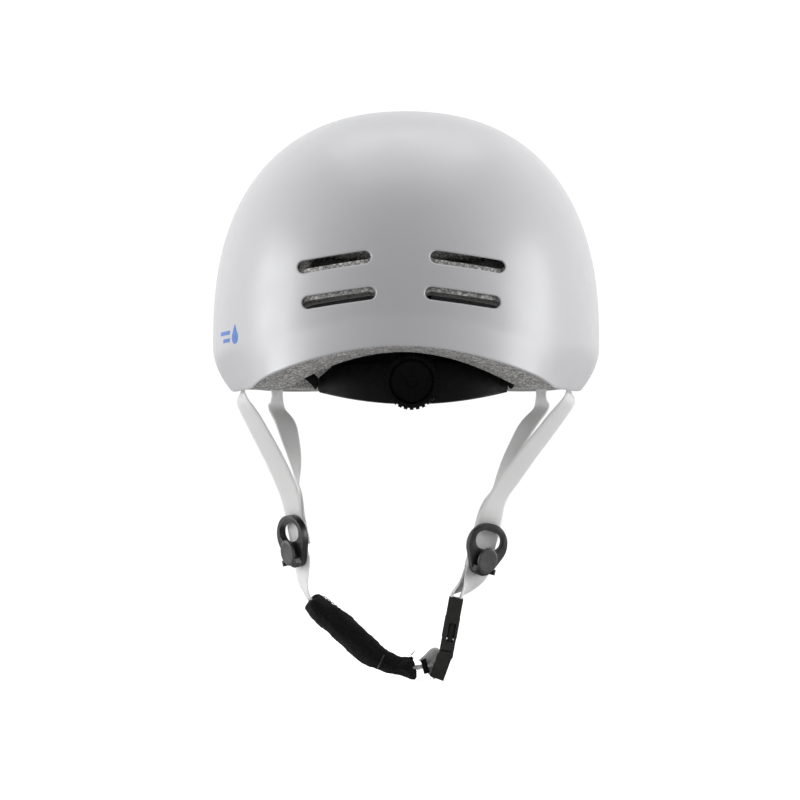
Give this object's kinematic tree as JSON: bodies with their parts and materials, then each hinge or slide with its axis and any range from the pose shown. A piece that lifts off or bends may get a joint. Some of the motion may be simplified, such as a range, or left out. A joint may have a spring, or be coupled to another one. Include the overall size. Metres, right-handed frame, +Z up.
{
  "type": "helmet",
  "caption": "Hard-shell sports helmet with foam liner, rear dial fit cradle, webbing harness with strap dividers, padded chin strap and side-release buckle.",
  "frame": {"origin": "centre of the head opening, level with the lowest side rims of the shell", "axes": "+Z up through the crown, +Y the way the wearer faces, +X the wearer's right"},
  "size_m": [0.211, 0.2735, 0.3101],
  "materials": {
    "shell": "satin",
    "liner": "speckled foam",
    "mark": "printed film",
    "pad": "brushed fleece",
    "webbing": "woven",
    "fittings": "moulded",
    "lever": "moulded",
    "steel": "plated"
  },
  "bodies": {
    "root": {"outer_shell": "shell", "eps_liner": "liner", "side_mark": "mark", "front_pad": "pad", "crown_pad": "pad", "side_pad_left": "pad", "side_pad_right": "pad", "cradle_pad": "pad", "cradle_frame": "fittings", "cradle_cover": "fittings", "cradle_hanger": "fittings", "hanger_pins": "fittings", "arm_left": "fittings", "arm_right": "fittings", "arm_anchors": "fittings", "strap_anchors": "fittings", "rear_strap_left": "webbing", "front_strap_left": "webbing", "rear_strap_right": "webbing", "front_strap_right": "webbing", "divider_left": "fittings", "divider_right": "fittings", "lever_pins": "steel", "lower_strap_left": "webbing", "lower_strap_right": "webbing", "buckle_female": "fittings"},
    "dial": {"fit_dial": "fittings", "dial_pinion": "fittings", "dial_screw": "steel"},
    "band_left": {"band_left": "fittings"},
    "band_right": {"band_right": "fittings"},
    "lever_left": {"divider_lever_left": "lever"},
    "lever_right": {"divider_lever_right": "lever"},
    "chin": {"chin_strap": "webbing", "chin_pad": "pad", "strap_keeper": "fittings", "buckle_male": "fittings"},
    "latch_front": {"buckle_latch_front": "fittings"},
    "latch_rear": {"buckle_latch_rear": "fittings"}
  },
  "joints": [
    {"name": "dial_turn", "type": "hinge", "parent": "root", "child": "dial", "pos_m": [0.005, -0.0975, 0.0049], "axis": [0, 1, 0], "range_deg": [-102, 127]},
    {"name": "band_left_slide", "type": "hinge", "parent": "root", "child": "band_left", "pos_m": [0.005, -0.038, 0], "axis": [0, 0, 1], "range_deg": [-7.7, 9.6], "deforming": ["arm_left"]},
    {"name": "band_right_slide", "type": "hinge", "parent": "root", "child": "band_right", "pos_m": [0.005, -0.038, 0], "axis": [0, 0, 1], "range_deg": [-9.6, 7.7], "deforming": ["arm_right"]},
    {"name": "lever_left_open", "type": "hinge", "parent": "root", "child": "lever_left", "pos_m": [-0.0631, -0.00273, -0.08833], "axis": [0.624, -0.7719, 0.1217], "range_deg": [0, 100]},
    {"name": "lever_right_open", "type": "hinge", "parent": "root", "child": "lever_right", "pos_m": [0.04254, -0.00377, -0.09257], "axis": [0.8483, 0.4815, -0.2204], "range_deg": [0, 100]},
    {"name": "chin_strap_open", "type": "hinge", "parent": "root", "child": "chin", "pos_m": [-0.0549, 0, -0.105], "axis": [0, 1, 0], "range_deg": [0, 72]},
    {"name": "latch_front_press", "type": "hinge", "parent": "chin", "child": "latch_front", "pos_m": [0.02193, 0.00715, -0.13649], "axis": [0.9831, 0, -0.1833], "range_deg": [0, 8], "stiffness_Nm_per_rad": 0.05},
    {"name": "latch_rear_press", "type": "hinge", "parent": "chin", "child": "latch_rear", "pos_m": [0.02193, -0.00715, -0.13649], "axis": [-0.9831, 0, 0.1833], "range_deg": [0, 8], "stiffness_Nm_per_rad": 0.05}
  ],
  "couplings": [
    {"joint": "band_left_slide", "follows": "dial_turn", "ratio": 0.074627},
    {"joint": "band_right_slide", "follows": "dial_turn", "ratio": -0.074627}
  ]
}
